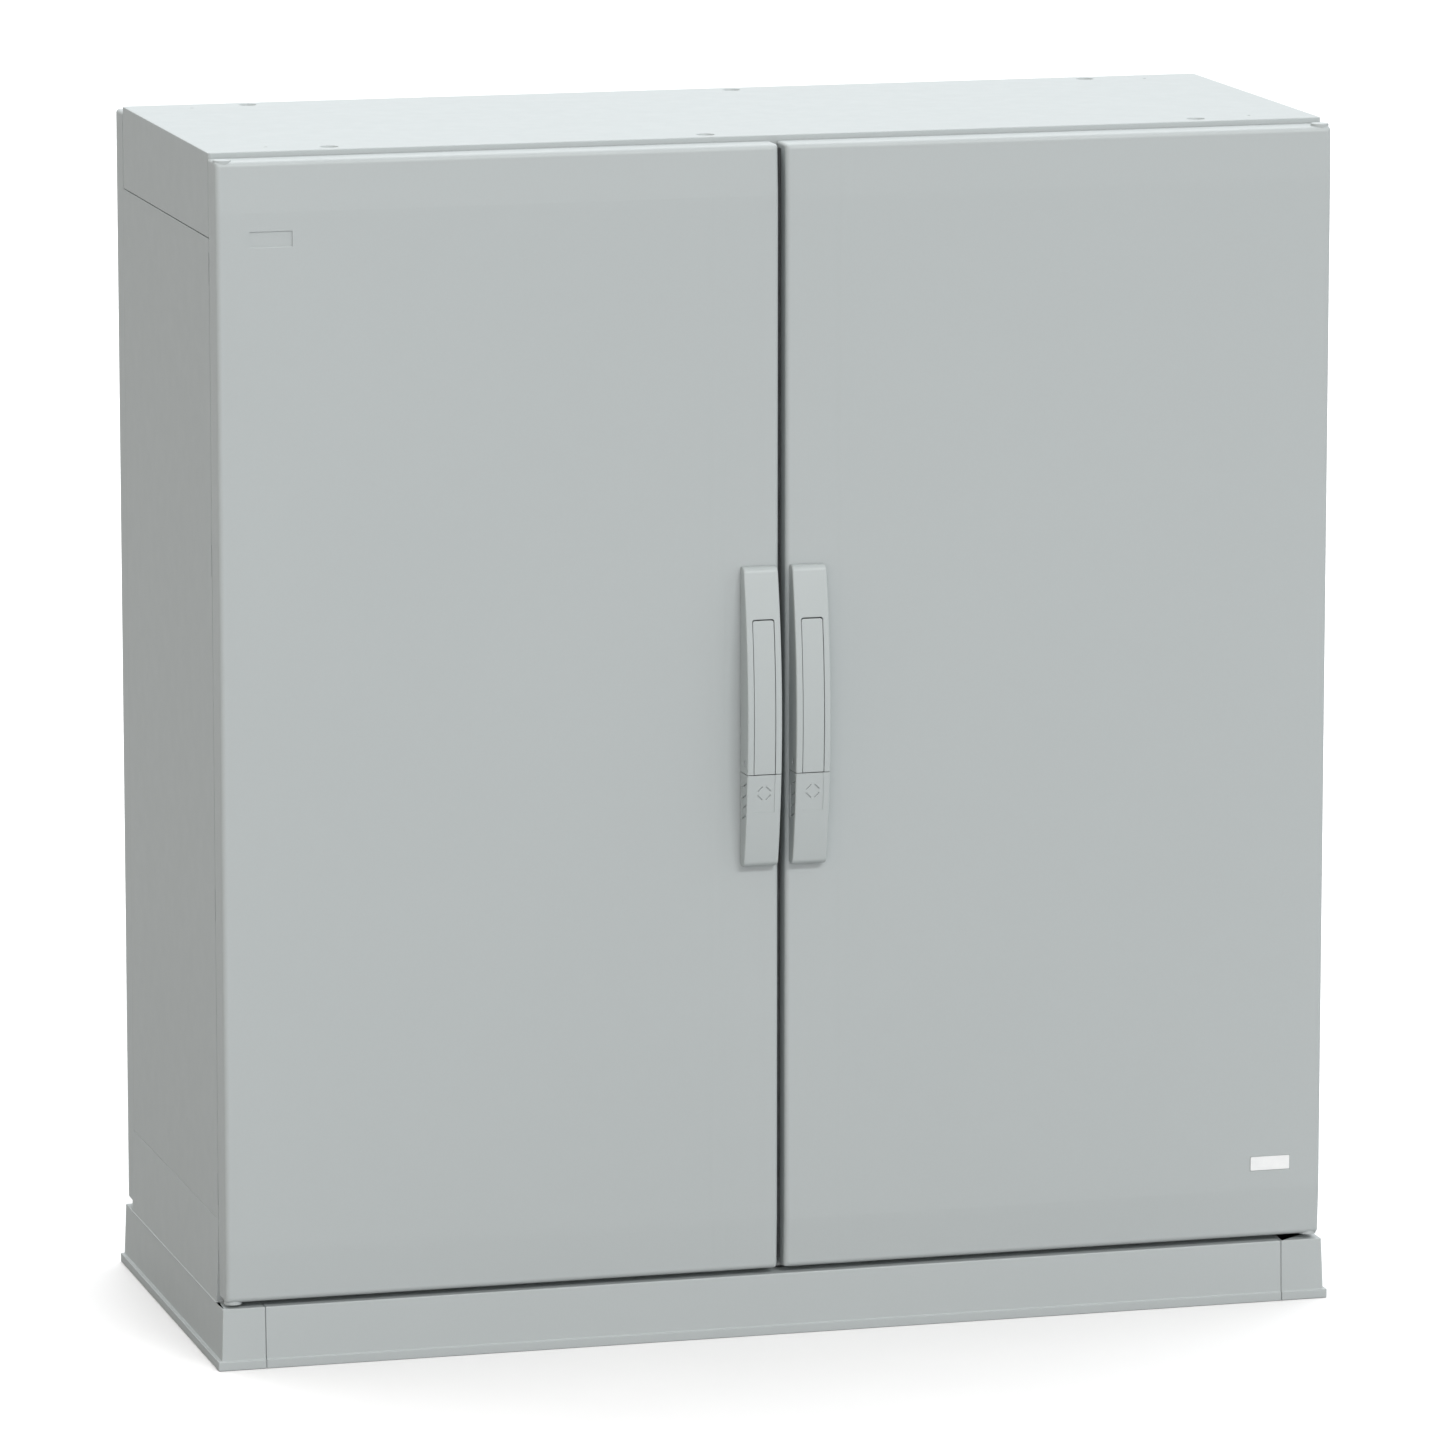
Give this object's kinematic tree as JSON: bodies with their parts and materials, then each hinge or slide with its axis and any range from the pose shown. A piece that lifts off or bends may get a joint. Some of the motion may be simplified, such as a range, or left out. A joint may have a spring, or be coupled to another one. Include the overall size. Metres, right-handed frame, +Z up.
{
  "type": "double-door service enclosure",
  "caption": "Floor-standing outdoor electrical service enclosure: moulded polyester shell on a low plinth, hinged doors with lever handles, mounting plate inside.",
  "frame": {"origin": "on the floor, in the middle of the overall footprint", "axes": "+X to the right seen from the doors, +Y from the doors to the rear, +Z up"},
  "size_m": [1.015, 0.4435, 1.06],
  "materials": {
    "shell": "satin moulded",
    "handle": "fine moulded",
    "steel": "zinc plated",
    "zinc_plate": "galvanised sheet",
    "rubber": "matte",
    "lock_insert": "satin nickel",
    "label": "plain"
  },
  "bodies": {
    "enclosure": {"roof_cap": "shell", "left_side_panel": "shell", "right_side_panel": "shell", "rear_panel": "shell", "left_base_moulding": "shell", "right_base_moulding": "shell", "front_plinth_panel": "shell", "rear_plinth_panel": "shell", "floor_tray": "shell", "gland_plate": "zinc_plate", "left_cable_grommet": "rubber", "right_cable_grommet": "rubber", "mounting_plate": "zinc_plate", "plate_bracket_left_lower": "steel", "plate_bracket_left_upper": "steel", "plate_bracket_right_lower": "steel", "plate_bracket_right_upper": "steel", "left_hinge_bracket_1": "steel", "left_hinge_bracket_2": "steel", "left_hinge_bracket_3": "steel", "left_hinge_bracket_4": "steel", "right_hinge_bracket_1": "steel", "right_hinge_bracket_2": "steel", "right_hinge_bracket_3": "steel", "right_hinge_bracket_4": "steel", "upper_keeper": "steel", "lower_keeper": "steel"},
    "left_leaf": {"left_door": "shell", "left_hinge_strip": "steel", "left_door_gasket": "rubber", "left_meeting_seal": "rubber", "left_handle_housing": "handle", "left_lever_pin": "steel", "left_lock_case": "steel", "left_lower_rod_guide": "steel", "left_upper_rod_guide": "steel"},
    "left_lever_arm": {"left_lever": "handle"},
    "left_cover": {"left_lock_cover": "handle"},
    "left_insert": {"left_lock_insert": "lock_insert"},
    "left_pinion": {"left_lock_pinion": "steel"},
    "left_lower_rod": {"left_lower_lock_rod": "steel"},
    "left_upper_rod": {"left_upper_lock_rod": "steel"},
    "right_leaf": {"right_door": "shell", "right_hinge_strip": "steel", "right_door_gasket": "rubber", "right_meeting_seal": "rubber", "right_handle_housing": "handle", "right_lever_pin": "steel", "right_lock_case": "steel", "right_lower_rod_guide": "steel", "right_upper_rod_guide": "steel", "label_plate": "label"},
    "right_lever_arm": {"right_lever": "handle"},
    "right_cover": {"right_lock_cover": "handle"},
    "right_insert": {"right_lock_insert": "lock_insert"},
    "right_pinion": {"right_lock_pinion": "steel"},
    "right_lower_rod": {"right_lower_lock_rod": "steel"},
    "right_upper_rod": {"right_upper_lock_rod": "steel"}
  },
  "joints": [
    {"name": "left_door_hinge", "type": "hinge", "parent": "enclosure", "child": "left_leaf", "pos_m": [-0.492, -0.1865, 0.558], "axis": [0, 0, -1], "range_deg": [0, 100]},
    {"name": "left_lever_tilt", "type": "hinge", "parent": "left_leaf", "child": "left_lever_arm", "pos_m": [-0.022, -0.211, 0.516], "axis": [1, 0, 0], "range_deg": [0, 60]},
    {"name": "left_lock_cover_slide", "type": "slide", "parent": "left_leaf", "child": "left_cover", "axis": [0, 0, -1], "range_m": [0, 0.04]},
    {"name": "left_lock_insert_turn", "type": "hinge", "parent": "left_leaf", "child": "left_insert", "pos_m": [-0.022, -0.209, 0.4805], "axis": [0, 1, 0], "range_deg": [0, 90]},
    {"name": "left_pinion_spin", "type": "hinge", "parent": "left_leaf", "child": "left_pinion", "pos_m": [-0.022, -0.178, 0.52], "axis": [1, 0, 0], "range_deg": [-200.1, 0]},
    {"name": "left_lower_rod_slide", "type": "slide", "parent": "left_leaf", "child": "left_lower_rod", "axis": [0, 0, 1], "range_m": [0, 0.021]},
    {"name": "left_upper_rod_slide", "type": "slide", "parent": "left_leaf", "child": "left_upper_rod", "axis": [0, 0, -1], "range_m": [0, 0.021]},
    {"name": "right_door_hinge", "type": "hinge", "parent": "enclosure", "child": "right_leaf", "pos_m": [0.492, -0.1865, 0.558], "axis": [0, 0, 1], "range_deg": [0, 100]},
    {"name": "right_lever_tilt", "type": "hinge", "parent": "right_leaf", "child": "right_lever_arm", "pos_m": [0.022, -0.211, 0.516], "axis": [1, 0, 0], "range_deg": [0, 60]},
    {"name": "right_lock_cover_slide", "type": "slide", "parent": "right_leaf", "child": "right_cover", "axis": [0, 0, -1], "range_m": [0, 0.04]},
    {"name": "right_lock_insert_turn", "type": "hinge", "parent": "right_leaf", "child": "right_insert", "pos_m": [0.022, -0.209, 0.4805], "axis": [0, 1, 0], "range_deg": [0, 90]},
    {"name": "right_pinion_spin", "type": "hinge", "parent": "right_leaf", "child": "right_pinion", "pos_m": [0.022, -0.178, 0.52], "axis": [1, 0, 0], "range_deg": [-200.1, 0]},
    {"name": "right_lower_rod_slide", "type": "slide", "parent": "right_leaf", "child": "right_lower_rod", "axis": [0, 0, 1], "range_m": [0, 0.021]},
    {"name": "right_upper_rod_slide", "type": "slide", "parent": "right_leaf", "child": "right_upper_rod", "axis": [0, 0, -1], "range_m": [0, 0.021]}
  ],
  "couplings": [
    {"joint": "left_lower_rod_slide", "follows": "left_lever_tilt", "m_per_rad": 0.02},
    {"joint": "left_upper_rod_slide", "follows": "left_lever_tilt", "m_per_rad": 0.02},
    {"joint": "left_pinion_spin", "follows": "left_lever_tilt", "ratio": -3.3333},
    {"joint": "right_lower_rod_slide", "follows": "right_lever_tilt", "m_per_rad": 0.02},
    {"joint": "right_upper_rod_slide", "follows": "right_lever_tilt", "m_per_rad": 0.02},
    {"joint": "right_pinion_spin", "follows": "right_lever_tilt", "ratio": -3.3333}
  ]
}
